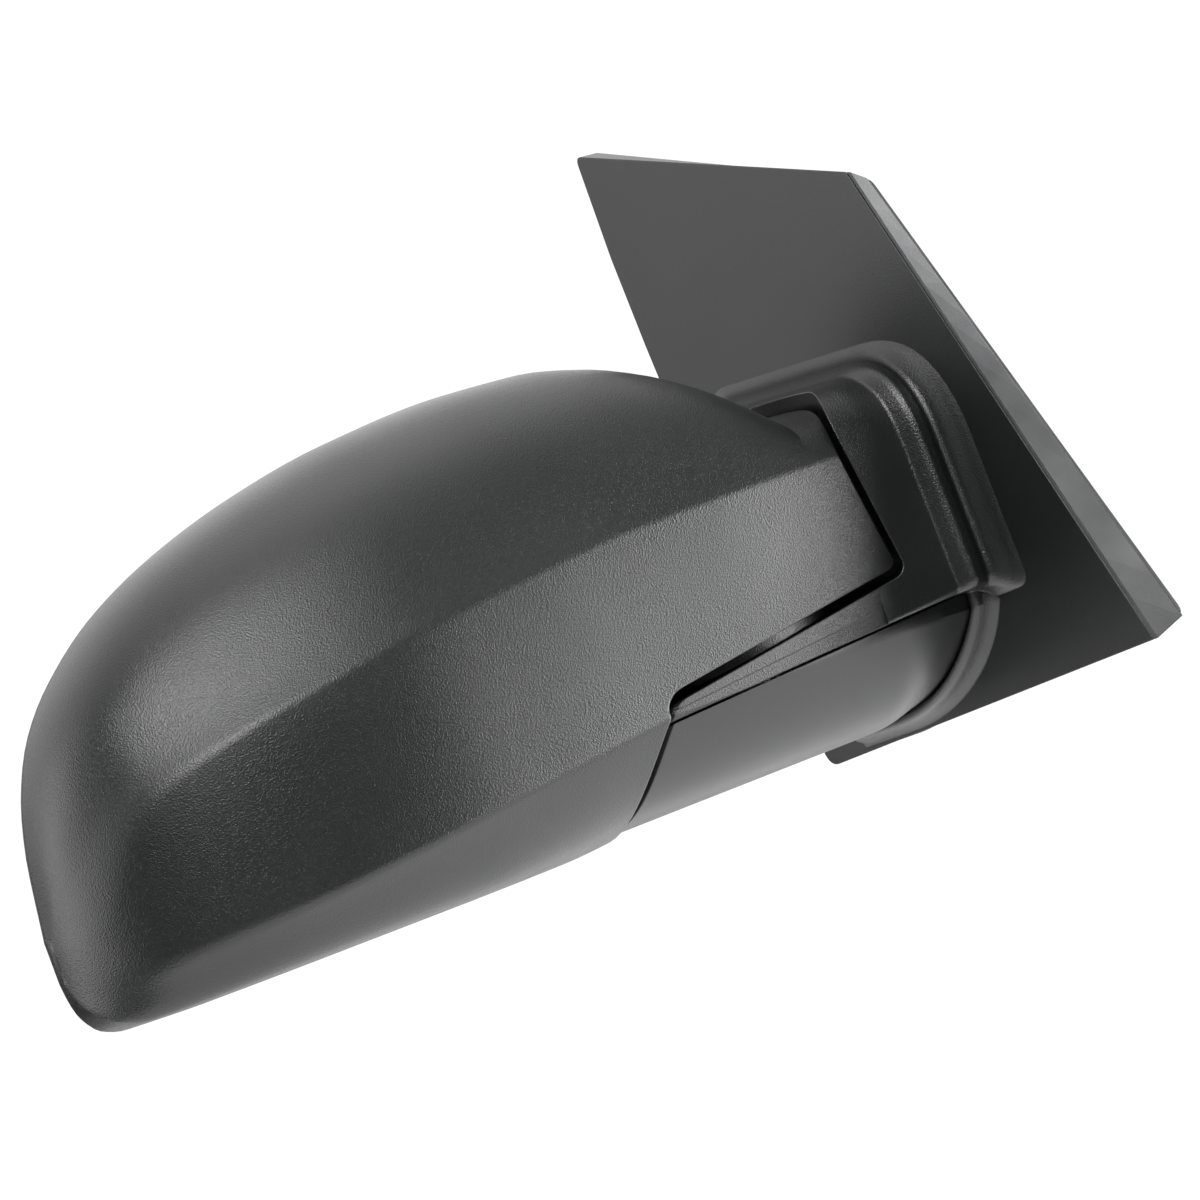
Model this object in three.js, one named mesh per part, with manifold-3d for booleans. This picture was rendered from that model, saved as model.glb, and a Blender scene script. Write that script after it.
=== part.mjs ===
// Right-hand car door mirror. Millimetres.
// +X runs inboard to the door, +Y to the rear of the car (the way the glass looks), +Z up.
// Origin: on the mounting face of the base, level with the root of the arm.
import * as THREE from 'three';
import Module from 'manifold-3d';

const wasm = await Module();
wasm.setup();

// ---------------------------------------------------------------- driving dimensions
const WALL = 2.6;               // moulded shells
const GAP = 0.3;                // between touching pieces

const TIP_X = -319;             // outboard end of the head
const ROOT_X = -14;             // where the head loft starts, inside the base
const END_LENGTH = 130;         // rounded outboard end, seen from above
const RIM_Y = 34.3;             // rearmost edge of the head
const BEZEL_T = 3;              // thickness of the rear bezel
const SHELL_Y = RIM_Y - BEZEL_T - GAP;

const PIVOT = new THREE.Vector3(-92, 0, -22);
const PIVOT_TILT = 8;           // degrees, top leans outboard
const HEAD_R = 67.7;            // neck end, about the fold axis
const SOCKET_R = 70;            // socket in the base round the neck end
const HEAD_LOW_R = 64;          // lower cut-out of the head
const PAD_R = 61.5;             // round end of the base arm
const NECK_W = 1;               // underside of the neck, along the fold axis
const LEDGE_W = -2.3;           // top of the base arm
const POST_R = 9;

const GLASS_X = -212;           // centre of the glass
const GLASS_Z = 14;
const GIMBAL_Y = 14;
const LEVER = 30;               // centre to each adjuster screw
const BACKING_Y = 22;

const PLATE_X = -9;             // outer skin of the base plate
const EDGE_X = -1.6;            // rear edge of the base plate's wall
const SKIN = 2.5;

// ---------------------------------------------------------------- materials
const material = (name, color, roughness, metalness = 0) =>
  Object.assign(new THREE.MeshStandardMaterial({ color, roughness, metalness }), { name });
const FINISH = {
  black_grain: () => material('black_grain', 0x2b2d2e, 0.6),
  black_smooth: () => material('black_smooth', 0x232526, 0.5),
  inner_plastic: () => material('inner_plastic', 0x1b1c1d, 0.55),
  rubber: () => material('rubber', 0x17181a, 0.85),
  die_cast: () => material('die_cast', 0x9a9c9e, 0.5, 0.9),
  steel: () => material('steel', 0xb4b6b8, 0.35, 1),
  heater: () => material('heater', 0xc9c2b0, 0.7),
  mirror: () => material('mirror', 0xdfe4e8, 0.03, 1),
};

// ---------------------------------------------------------------- solids and booleans
function solid(geometry) {
  const g = geometry.index ? geometry.toNonIndexed() : geometry;
  const ids = new Map();
  const positions = [];
  const triangles = [];
  const p = g.attributes.position;
  for (let i = 0; i < p.count; i++) {
    const key = [p.getX(i), p.getY(i), p.getZ(i)].map((v) => Math.round(v * 1e4)).join();
    if (!ids.has(key)) {
      ids.set(key, ids.size);
      positions.push(p.getX(i), p.getY(i), p.getZ(i));
    }
    triangles.push(ids.get(key));
  }
  const kept = [];
  let volume = 0;
  const corner = (i) => new THREE.Vector3(...positions.slice(3 * i, 3 * i + 3));
  for (let i = 0; i < triangles.length; i += 3) {
    const [a, b, c] = triangles.slice(i, i + 3);
    if (a === b || b === c || c === a) continue;
    volume += corner(a).dot(corner(b).cross(corner(c)));
    kept.push(a, b, c);
  }
  if (volume < 0) kept.reverse();
  return new wasm.Manifold(new wasm.Mesh({
    numProp: 3,
    vertProperties: new Float32Array(positions),
    triVerts: new Uint32Array(kept),
  }));
}

function toGeometry(body) {
  const mesh = body.getMesh();
  const g = new THREE.BufferGeometry();
  g.setAttribute('position', new THREE.BufferAttribute(new Float32Array(mesh.vertProperties), 3));
  g.setIndex(new THREE.BufferAttribute(new Uint32Array(mesh.triVerts), 1));
  const flat = g.toNonIndexed();
  flat.computeVertexNormals();
  return flat;
}

const join = (...bodies) => bodies.reduce((a, b) => a.add(b));
const cut = (body, ...tools) => tools.reduce((a, b) => a.subtract(b), body);

// Closed loft through rings of equally many points; caps are cut in the Y-Z plane.
function loft(rings) {
  const n = rings[0].length;
  const points = rings.flat();
  const flatRing = (ring) => ring.map((v) => new THREE.Vector2(v.y, v.z));
  const faces = [];
  for (let r = 0; r + 1 < rings.length; r++) {
    for (let i = 0; i < n; i++) {
      const a = r * n + i;
      const b = r * n + (i + 1) % n;
      faces.push([a, b, b + n], [a, b + n, a + n]);
    }
  }
  const last = (rings.length - 1) * n;
  for (const [a, b, c] of THREE.ShapeUtils.triangulateShape(flatRing(rings[0]), [])) faces.push([c, b, a]);
  for (const [a, b, c] of THREE.ShapeUtils.triangulateShape(flatRing(rings.at(-1)), [])) {
    faces.push([a + last, b + last, c + last]);
  }
  const g = new THREE.BufferGeometry();
  g.setAttribute('position', new THREE.Float32BufferAttribute(points.flatMap((v) => [v.x, v.y, v.z]), 3));
  g.setIndex(faces.flat());
  return solid(g);
}

// ---------------------------------------------------------------- outlines and placing
// Corner list [x, y, radius] turned into a closed polyline with rounded corners.
function rounded(corners, steps = 4) {
  const points = [];
  corners.forEach(([x, y, r = 0], i) => {
    const [px, py] = corners.at(i - 1);
    const [nx, ny] = corners[(i + 1) % corners.length];
    const here = new THREE.Vector2(x, y);
    if (r === 0) {
      points.push(here);
      return;
    }
    const from = new THREE.Vector2(px, py).sub(here).setLength(r).add(here);
    const to = new THREE.Vector2(nx, ny).sub(here).setLength(r).add(here);
    points.push(...new THREE.QuadraticBezierCurve(from, here, to).getPoints(steps));
  });
  return points;
}

const MAP_XZ = new THREE.Matrix4().makeRotationX(Math.PI / 2);
const MAP_YZ = new THREE.Matrix4().makeBasis(
  new THREE.Vector3(0, 1, 0), new THREE.Vector3(0, 0, 1), new THREE.Vector3(1, 0, 0));

function prism(points, depth, map) {
  const g = new THREE.ExtrudeGeometry(new THREE.Shape(points), { depth, bevelEnabled: false });
  return g.applyMatrix4(map);
}
const plateXZ = (points, y0, y1) => solid(prism(points, y1 - y0, MAP_XZ).translate(0, y1, 0));
const plateYZ = (points, x0, x1) => solid(prism(points, x1 - x0, MAP_YZ).translate(x0, 0, 0));

function box(x0, x1, y0, y1, z0, z1) {
  const g = new THREE.BoxGeometry(x1 - x0, y1 - y0, z1 - z0);
  return g.translate((x0 + x1) / 2, (y0 + y1) / 2, (z0 + z1) / 2);
}
const block = (...limits) => solid(box(...limits));

// Cylinder from low to high along one axis, 'x', 'y' or 'z', through (a, b) on the other two.
function rod(axis, a, b, low, high, radius, sides = 24) {
  const g = new THREE.CylinderGeometry(radius, radius, high - low, sides);
  const mid = (low + high) / 2;
  if (axis === 'x') return solid(g.rotateZ(Math.PI / 2).translate(mid, a, b));
  if (axis === 'y') return solid(g.translate(a, mid, b));
  return solid(g.rotateX(Math.PI / 2).translate(a, b, mid));
}

// Turned body: profile of [radius, height] closed on its axis or on itself, along +Y.
const turned = (profile, sides = 20) =>
  new THREE.LatheGeometry(profile.map(([r, h]) => new THREE.Vector2(r, h)), sides);

// ---------------------------------------------------------------- fold axis
const tilt = THREE.MathUtils.degToRad(PIVOT_TILT);
const ACROSS = new THREE.Vector3(Math.cos(tilt), 0, Math.sin(tilt));
const FOLD_AXIS = new THREE.Vector3(-Math.sin(tilt), 0, Math.cos(tilt));
const PIVOT_FRAME = new THREE.Matrix4()
  .makeBasis(ACROSS, new THREE.Vector3(0, 1, 0), FOLD_AXIS).setPosition(PIVOT);
const onPivot = (geometry) => solid(geometry.applyMatrix4(PIVOT_FRAME));

function pivotRod(w0, w1, radius, sides = 28) {
  const g = new THREE.CylinderGeometry(radius, radius, w1 - w0, sides);
  return onPivot(g.rotateX(Math.PI / 2).translate(0, 0, (w0 + w1) / 2));
}
const pivotTube = (w0, w1, outer, inner) =>
  cut(pivotRod(w0, w1, outer), pivotRod(w0 - 1, w1 + 1, inner));
const pivotBlock = (...limits) => onPivot(box(...limits));

// ---------------------------------------------------------------- head surface
// Smooth curve through [x, value] pairs that never overshoots them.
function through(pairs) {
  const k = pairs.map(([x, v]) => [-x, v]);
  const slope = k.slice(1).map(([x, v], i) => (v - k[i][1]) / (x - k[i][0]));
  const m = k.map((_, i) => {
    const a = slope[i - 1] ?? slope[i];
    const b = slope[i] ?? slope[i - 1];
    return a * b <= 0 ? 0 : 2 * a * b / (a + b);
  });
  return (px) => {
    const x = THREE.MathUtils.clamp(-px, k[0][0], k.at(-1)[0]);
    const i = Math.max(0, Math.min(k.findIndex(([kx]) => kx > x) - 1, k.length - 2));
    const j = x >= k.at(-1)[0] ? k.length - 2 : i;
    const h = k[j + 1][0] - k[j][0];
    const t = (x - k[j][0]) / h;
    return (2 * t ** 3 - 3 * t ** 2 + 1) * k[j][1] + (t ** 3 - 2 * t ** 2 + t) * h * m[j]
      + (3 * t ** 2 - 2 * t ** 3) * k[j + 1][1] + (t ** 3 - t ** 2) * h * m[j + 1];
  };
}

const topZ = through([[-14, 51], [-46, 51], [-56, 53], [-64, 61], [-74, 73], [-90, 84], [-115, 89],
  [-140, 89.5], [-180, 86], [-214, 79], [-245, 69], [-270, 57], [-290, 42], [-302, 28.5],
  [-310, 13], [-315, -4], [-319, -30]]);
const creaseZ = through([[-14, 27], [-46, 25], [-120, 23.7], [-175, 19], [-225, 12.5], [-262, 6],
  [-290, -2], [-319, -33]]);
const chinZ = through([[-14, -28], [-46, -30], [-125, -33], [-175, -38], [-230, -44.5], [-270, -48],
  [-300, -49], [-319, -41]]);
const bottomZ = through([[-14, -60], [-130, -61.5], [-170, -63.5], [-240, -63.2], [-290, -62.5],
  [-303, -61.5], [-311, -58], [-317, -50], [-319, -43]]);
const frontY = through([[-14, -43], [-46, -44.6], [-100, -46], [-150, -45.6], [-200, -43.8], [-250, -41],
  [-319, -38]]);

const endFactor = (x) => {
  const t = Math.max(0, (TIP_X + END_LENGTH - x) / END_LENGTH);
  return Math.sqrt(Math.max(0.003, 1 - t ** 2.3));
};
const bezier = (a, b, c, d, steps) =>
  new THREE.CubicBezierCurve(...[a, b, c, d].map((p) => new THREE.Vector2(...p))).getPoints(steps);

// One cross-section of the head: down over the dome, the front slab and the lower facet.
function headSection(x, rearY) {
  const g = endFactor(x);
  const y = (v) => SHELL_Y - (SHELL_Y - v) * g;
  const f = frontY(x);
  const [zt, zc, zk, zb] = [topZ(x), creaseZ(x), chinZ(x), bottomZ(x)];
  const neck = THREE.MathUtils.smoothstep(x, -76, -54);
  const rise = zt - zc;
  const shoulder = [y(f + rise * (0.2 + 0.16 * neck)), zc + rise * (0.5 + 0.3 * neck)];
  const dome = bezier([SHELL_Y, zt], [y(-28), zt - 2 + neck], shoulder, [y(f), zc], 9);
  const slab = bezier([y(f), zc], [y(f - 1), zc * 0.67 + zk * 0.33], [y(f), zc * 0.33 + zk * 0.67],
    [y(f + 2), zk], 3);
  const facet = bezier([y(f + 2), zk], [y(f + 15), (zk + zb) / 2 - 2], [y(-18), zb], [y(0), zb], 5);
  const curve = [...dome, ...slab.slice(1), ...facet.slice(1), new THREE.Vector2(SHELL_Y, zb)];
  const ring = [new THREE.Vector2(rearY, zt), ...curve, new THREE.Vector2(rearY, zb)];
  return ring.map((v) => new THREE.Vector3(x, v.x, v.y));
}

function headStations() {
  const shoulder = [ROOT_X, -44, -52, -58, -63, -68, -74, -82, -92, -105, -125, -150, -170];
  const start = TIP_X + END_LENGTH;
  const turn = Array.from({ length: 12 }, (_, i) => start - END_LENGTH * Math.sin(i * Math.PI / 22));
  return [...shoulder, ...turn];
}

const HEAD_CENTRE = new THREE.Vector3(-180, SHELL_Y, 12);
function headLoft(inset, rearY) {
  const shrink = new THREE.Vector3(1 - inset / 139, 1 - inset / 77, 1 - inset / 75);
  const place = (v) => v.sub(HEAD_CENTRE).multiply(shrink).add(HEAD_CENTRE);
  return loft(headStations().map((x) => headSection(x, rearY).map(place)));
}

// Takes away what the base needs on the inboard side and under the neck.
function clearForBase(body, wall) {
  const beyond = cut(pivotBlock(0, 220, -120, 120, -90, 160), pivotRod(-95, 165, HEAD_R - wall, 72));
  const belowRound = pivotRod(-90, NECK_W + wall, HEAD_LOW_R + wall, 72);
  const belowInboard = pivotBlock(0, 220, -120, 120, -90, NECK_W + wall);
  return cut(body, beyond, belowRound, belowInboard);
}

// ---------------------------------------------------------------- rim and glass outlines
// Rear outline of the head drawn in by d. The inner lower corner is cut off over the base arm.
const SILL_Z = -13.4;
const SILL_X = -150;
function rimOutline(d, inboard, corner) {
  const sx = 1 - d / 124;
  const sz = 1 - d / 76;
  const point = (x, z) => [-195 + (x + 195) * sx, GLASS_Z + (z - GLASS_Z) * sz];
  const xs = [-126, -170, -195, -220, -245, -262, -276, -288, -298, -306, -312, -316, -318.2, TIP_X];
  const upper = xs.map((x) => point(x, topZ(x)));
  const lower = [-317, -311, -303, -290, -240].map((x) => point(x, bottomZ(x)));
  const out = 13 - d;
  const sill = SILL_Z - out;
  const sillX = SILL_X + 0.435 * out;
  const foot = lower.at(-1)[1];
  const footX = sillX - 0.931 * (sill - foot);
  return rounded([[footX, foot, 9], [sillX, sill, 9], [inboard, sill, 6], [inboard, upper[0][1], corner],
    ...upper, ...lower]);
}

// ---------------------------------------------------------------- head pieces
const FRAME_SCREWS = [[-254.4, 12], [-254.4, -18], [-158, 32]];
const SHELL_PINS_Y = -21.3;

function headShell() {
  const outer = clearForBase(headLoft(0, SHELL_Y), 0);
  const inner = clearForBase(headLoft(WALL, SHELL_Y + 10), WALL);
  const bosses = FRAME_SCREWS.map(([x, z]) => rod('y', x, z, -70, SHELL_PINS_Y, 4.6, 20).intersect(outer));
  const bores = FRAME_SCREWS.map(([x, z]) => rod('y', x, z, -27.4, SHELL_PINS_Y + 1, 2.1, 16));
  return cut(join(cut(outer, inner), ...bosses), pivotRod(-8, 12, 17), ...bores);
}

function rearBezel() {
  const y0 = SHELL_Y + GAP;
  const outline = headStations().map((x) => [x, topZ(x)]);
  const under = headStations().reverse().map((x) => [x, bottomZ(x)]);
  const plate = plateXZ([...outline, ...under].map((p) => new THREE.Vector2(...p)), y0, RIM_Y);
  const well = plateXZ(rimOutline(6, -108, 16), RIM_Y - 8, y0 + 1);
  const opening = plateXZ(rimOutline(7.8, -110, 14), RIM_Y - 12, RIM_Y + 5);
  return cut(join(clearForBase(plate, 0), clearForBase(well, WALL + GAP)), opening);
}

const CASE = [[-250, -25, 8], [-173, -25, 8], [-173, 46, 8], [-250, 46, 8]];
const CASE_INNER = [[-248, -23, 6], [-175, -23, 6], [-175, 44, 6], [-248, 44, 6]];
const CASE_SCREWS = [[-242, -17], [-181, -17], [-181, 38]];
const CASE_Y = -16.7;
const COVER_Y = 2.3;

function headFrame() {
  const sleeve = pivotRod(LEDGE_W + 0.4, 34, 15.5);
  const plate = plateXZ(rounded([[-259, -24, 6], [-153, -22, 6], [-153, 40, 10], [-232, 38, 6],
    [-259, 19, 6]]), -21, -17);
  const web = rounded([[-90, -12, 0], [-90, 12, 0], [-104, 12, 4], [-146, -13, 0], [-160, -17, 0],
    [-160, -21, 0], [-112, -21, 6]]);
  const gusset = (z) => solid(new THREE.ExtrudeGeometry(new THREE.Shape(web),
    { depth: 5, bevelEnabled: false }).translate(0, 0, z));
  const spine = block(-152, -108, -21, -16, -9, 16);
  const holes = [
    ...FRAME_SCREWS.map(([x, z]) => rod('y', x, z, -30, -10, 2.2, 16)),
    ...CASE_SCREWS.map(([x, z]) => rod('y', x, z, -30, -10, 1.75, 16)),
    plateXZ(rounded([[-230, -8, 6], [-194, -8, 6], [-194, 26, 6], [-230, 26, 6]]), -30, -10),
  ];
  const arm = cut(join(plate, gusset(-9), gusset(11), spine), pivotRod(34, 80, 17));
  return cut(join(arm, sleeve), pivotRod(-10, 60, POST_R + 0.35), ...holes);
}

function actuatorCase() {
  const holes = CASE_SCREWS.map(([x, z]) => rod('y', x, z, -25, 0, 2.2, 16));
  const hollow = plateXZ(rounded(CASE_INNER), CASE_Y + 2, COVER_Y + 2);
  return cut(plateXZ(rounded(CASE), CASE_Y, COVER_Y - GAP), hollow, ...holes);
}

function actuatorCover() {
  const lug = (side) => {
    const low = GLASS_Z + side * 17.3;
    const high = GLASS_Z + side * 21.3;
    return block(GLASS_X - 5, GLASS_X + 5, 4, 18, Math.min(low, high), Math.max(low, high));
  };
  const holes = [
    ...CASE_SCREWS.map(([x, z]) => rod('y', x, z, 0, 8, 2.2, 16)),
    rod('y', GLASS_X + LEVER, GLASS_Z, 0, 12, 3.0, 20),
    rod('y', GLASS_X, GLASS_Z - LEVER, 0, 12, 3.0, 20),
    rod('z', GLASS_X, GIMBAL_Y, GLASS_Z - 30, GLASS_Z + 30, 2.3, 20),
  ];
  return cut(join(plateXZ(rounded(CASE), COVER_Y, 5), lug(1), lug(-1)), ...holes);
}

function motor(axis, a, b, low, high) {
  return join(rod(axis, a, b, low, high, 7.2), rod(axis, a, b, low - 1.6, high, 2.6, 16));
}

const screwBody = (headR, headH, shankR, length) =>
  turned([[0, 0], [headR - 0.8, 0], [headR, -0.8], [headR, -headH], [shankR, -headH],
    [shankR, 0.8 - length], [shankR - 0.7, -length], [0, -length]], 10);
const screwY = (x, y, z, headR, headH, shankR, length) =>
  solid(screwBody(headR, headH, shankR, length).translate(x, y, z));

// ---------------------------------------------------------------- glass pieces
function gimbalRing() {
  const at = [GLASS_X, GLASS_Z];
  const ring = cut(rod('y', ...at, 10.5, 17.5, 16, 28), rod('y', ...at, 9, 19, 12, 24));
  const pin = (z0, z1) => rod('z', GLASS_X, GIMBAL_Y, GLASS_Z + z0, GLASS_Z + z1, 2, 16);
  const bores = rod('x', GIMBAL_Y, GLASS_Z, GLASS_X - 20, GLASS_X + 20, 2.3, 16);
  return join(cut(ring, bores), pin(15, 20.6), pin(-20.6, -15));
}

function glassBacking() {
  const outline = plateXZ(rimOutline(11, -114, 12), BACKING_Y, BACKING_Y + 5.6);
  const pocket = plateXZ(rimOutline(12.7, -115.7, 10.5), BACKING_Y + 2.2, BACKING_Y + 8);
  const hub = rod('y', GLASS_X, GLASS_Z, 10.5, BACKING_Y + 0.5, 8.5, 28);
  const pins = rod('x', GIMBAL_Y, GLASS_Z, GLASS_X - 15.4, GLASS_X + 15.4, 2, 16);
  const spots = [[GLASS_X + LEVER, GLASS_Z], [GLASS_X, GLASS_Z - LEVER]];
  const sockets = spots.map((at) => rod('y', ...at, 10.4, BACKING_Y + 0.5, 6.4, 24));
  const bores = spots.map((at) => rod('y', ...at, 5, 18.6, 4.2, 20));
  return cut(join(cut(outline, pocket), hub, pins, ...sockets), ...bores);
}

const heaterPad = () => plateXZ(rimOutline(19, -122, 10), BACKING_Y + 2.5, BACKING_Y + 2.9);
const mirrorGlass = () => plateXZ(rimOutline(13, -116, 10), BACKING_Y + 3.2, BACKING_Y + 5.2);

function plunger(x, z) {
  const ball = new THREE.EllipseCurve(0, GIMBAL_Y, 3.4, 3.4, -0.86, Math.PI / 2).getPoints(5);
  const profile = [[0, -11], [2, -11], [2.6, -10.4], [2.6, 8], [2.2, 9.5],
    ...ball.slice(0, -1).map((p) => [p.x, p.y]), [0, GIMBAL_Y + 3.4]];
  return solid(turned(profile, 14).translate(x, 0, z));
}

// ---------------------------------------------------------------- base surface
const plateFront = [[-53.2, 108.9, 3], [-111.9, -63.7, 3]];
const plateRear = [[84, -68, 6], [94.5, 20, 0], [98, 96, 0], [98.5, 130, 0], [96.5, 168.6, 4]];
const edgeFront = [[-50.5, 106, 3], [-117.5, -60, 3]];

// Same outline drawn in by d, corner by corner.
function drawnIn(corners, d) {
  const edge = (a, b) => {
    const v = new THREE.Vector2(b[0] - a[0], b[1] - a[1]).normalize();
    return { p: new THREE.Vector2(a[0] - v.y * d, a[1] + v.x * d), v };
  };
  return corners.map((c, i) => {
    const e = edge(corners.at(i - 1), c);
    const f = edge(c, corners[(i + 1) % corners.length]);
    const t = f.p.clone().sub(e.p).cross(f.v) / e.v.cross(f.v);
    const at = e.p.clone().addScaledVector(e.v, t);
    return [at.x, at.y, c[2]];
  });
}

const SEAL_T = 2.4;
const faceCorners = [...plateFront, ...plateRear];
const edgeCorners = [...edgeFront, ...plateRear];
const ringAt = (corners, x) => rounded(corners).map((v) => new THREE.Vector3(x, v.x, v.y));

// The front edge as a row of points, moved rearward along the top and bottom edges by d.
function frontRow(corners, d) {
  const slide = (from, to) => {
    const a = new THREE.Vector2(from[0], from[1]);
    return new THREE.Vector2(to[0], to[1]).sub(a).setLength(d).add(a);
  };
  const top = slide(corners[0], corners.at(-1));
  const bottom = slide(corners[1], corners[2]);
  return Array.from({ length: 13 }, (_, i) => top.clone().lerp(bottom, i / 12));
}

// Section of the arm drawn in by d: front flush with the head, lower facet, bottom, rear.
function armSection(x, d) {
  const t = THREE.MathUtils.smoothstep(x, -62, -9);
  const mix = THREE.MathUtils.lerp;
  const front = mix(frontY(x), -40, t) + d;
  const low = mix(-61.6, -59, t) + d;
  const rear = mix(30, 52, t) - d;
  const facet = bezier([front + 2, mix(-33.5, -35, t)], [mix(-32, -26, t) + d, mix(-50, -46, t) + d],
    [mix(-20, -4, t), low], [mix(0, 26, t), low], 7);
  const ring = [[rear, 8], [front, 8], [front - 1, -12], ...facet.map((p) => [p.x, p.y]), [rear, low]];
  return ring.map(([y, z]) => new THREE.Vector3(x, y, z));
}
const armLoft = (d, from, to) =>
  loft([from, -110, -62, -48, -36, -24, to].filter((x) => x >= from).map((x) => armSection(x, d)));

// Boss on the plate: [x, front y, rear y, top z, bottom z, corner radius].
const BOSS = [[-6.3, -64, 69, 67, -38, 16], [-9, -60, 65, 62.5, -36, 14], [-12, -55, 60, 59, -34, 11],
  [-18, -52, 56, 55.5, -32, 9], [-26, -50, 51, 52.5, -31, 8], [-52, -46, 42, 51, -28, 8]];
function bossLoft(d) {
  return loft(BOSS.map(([x, f, r, t, b, c]) => {
    const corners = [[f + d, t - d, c + 4], [f + d, b + d, c], [r - d, b + d, c], [r - d, t - d, c]];
    return rounded(corners).map((v) => new THREE.Vector3(x, v.x, v.y));
  }));
}

const sweep = (extra) => pivotRod(LEDGE_W - extra, 200, SOCKET_R + extra, 72);
const pastRoundEnd = (extra) =>
  cut(pivotBlock(-220, 0, -120, 120, -120, 160), pivotRod(-125, 165, PAD_R - extra, 72));
// Everything under the line between the ledge and the lower cover, which falls gently outboard.
function belowLedge(offset) {
  const g = box(-400, 400, -200, 200, -300, 0);
  return solid(g.rotateY(THREE.MathUtils.degToRad(-3.2)).translate(-92, 0, -32.6 + offset));
}

// ---------------------------------------------------------------- base pieces
const PAD_ROOT_X = -11.5;
const STUDS = [[-66, -34], [58, -34], [6, 84]];
const GROMMET = [14, 26];
const SEAT_W = -6;

function sailCover() {
  const behindSeal = (corners) =>
    [...frontRow(corners, SEAL_T).map((p) => [p.x, p.y, 0]), ...corners.slice(2)];
  const tray = loft([ringAt(behindSeal(faceCorners), PLATE_X), ringAt(behindSeal(edgeCorners), EDGE_X)]);
  const pocket = plateYZ(rounded(drawnIn(faceCorners, SEAL_T + SKIN + 3)), PLATE_X + SKIN, 5);
  const upperArm = cut(armLoft(0, -158, -8), belowLedge(0), pastRoundEnd(0));
  const flare = [[-8.5, -7], [-10.5, -4.5], [-13, -3], [-16, -2.4]];
  const collar = loft(flare.map(([x, d]) => armSection(x, d)).reverse());
  const outer = cut(join(tray, upperArm, bossLoft(0), collar), sweep(0));
  const innerArm = cut(armLoft(WALL, -155, -6), sweep(WALL), pastRoundEnd(WALL));
  const padSeat = armLoft(-0.4, -58, PAD_ROOT_X + 0.4).intersect(belowLedge(0));
  return cut(outer, pocket, innerArm, cut(bossLoft(WALL), sweep(WALL)), padSeat, pivotRod(-12, 4, 23));
}

function armCover() {
  const outer = armLoft(0.6, -158, PAD_ROOT_X).intersect(belowLedge(-0.7));
  const inner = cut(armLoft(0.6 + WALL, -155, -4), pastRoundEnd(WALL));
  return cut(outer, pastRoundEnd(0), inner);
}

function edgeSeal() {
  const strip = (corners, x) => [...frontRow(corners, 0.01), ...frontRow(corners, SEAL_T - 0.7).reverse()]
    .map((p) => new THREE.Vector3(x, p.x, p.y));
  return loft([strip(faceCorners, PLATE_X), strip(edgeCorners, EDGE_X)]);
}

function baseGasket() {
  const outer = plateYZ(rounded(drawnIn(edgeCorners, 0.6)), EDGE_X + GAP, 0);
  return cut(outer, plateYZ(rounded(drawnIn(edgeCorners, 7.5)), -5, 5));
}

function baseBracket() {
  const plate = plateYZ(rounded([[-90, -50, 8], [76, -52, 8], [76, 36, 12], [24, 100, 10],
    [-12, 100, 10], [-54, 58, 12]]), -4.8, 0);
  const arm = cut(pivotBlock(0, 110, -19, 19, -22, SEAT_W - 1), block(-4, 80, -80, 80, -90, 90));
  const seat = pivotRod(-22, SEAT_W, 24, 40);
  const studBores = STUDS.map(([y, z]) => rod('x', y, z, -6, 2, 3.3, 12));
  const studHeads = STUDS.map(([y, z]) => rod('x', y, z, -6, -2.6, 6, 12));
  const lightening = pivotBlock(30, 74, -13, 13, -24, -12);
  return cut(join(plate, arm, seat), ...studBores, ...studHeads, lightening,
    rod('x', ...GROMMET, -6, 2, 11, 28), pivotRod(-30, 10, POST_R + 0.3));
}

const alongX = (geometry, y, z) => solid(geometry.rotateZ(-Math.PI / 2).translate(0, y, z));
const stud = (y, z) => alongX(turned([[0, -4.8], [5.7, -4.8], [5.7, -2.9], [3, -2.9], [3, 21],
  [2.2, 22], [0, 22]], 12), y, z);
const grommet = () => alongX(turned([[7, -8], [13, -8], [13, -5.1], [10.7, -5.1], [10.7, 1],
  [9.6, 4], [7, 4], [7, -8]], 20), ...GROMMET);
const post = () => onPivot(turned([[6, -24.5], [12.5, -24.5], [12.5, -22.3], [POST_R, -22.3],
  [POST_R, 61], [8.2, 62], [6, 62], [6, -24.5]], 24).rotateX(Math.PI / 2));

function foldSpring() {
  const [low, high, turns, radius] = [36, 54.4, 4, 12.2];
  const helix = Array.from({ length: turns * 12 + 1 }, (_, i) => {
    const a = i * Math.PI / 6;
    return new THREE.Vector3(radius * Math.cos(a), radius * Math.sin(a), low + (high - low) * i / 48);
  });
  const wire = new THREE.Shape(new THREE.EllipseCurve(0, 0, 1.6, 1.6, 0, 2 * Math.PI).getPoints(6));
  return onPivot(new THREE.ExtrudeGeometry(wire,
    { steps: turns * 12, extrudePath: new THREE.CatmullRomCurve3(helix), bevelEnabled: false }));
}

// ---------------------------------------------------------------- assembly
const mirror = new THREE.Group();
function add(name, body, finish) {
  const mesh = new THREE.Mesh(toGeometry(body), finish());
  mesh.name = name;
  mirror.add(mesh);
}

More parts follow.
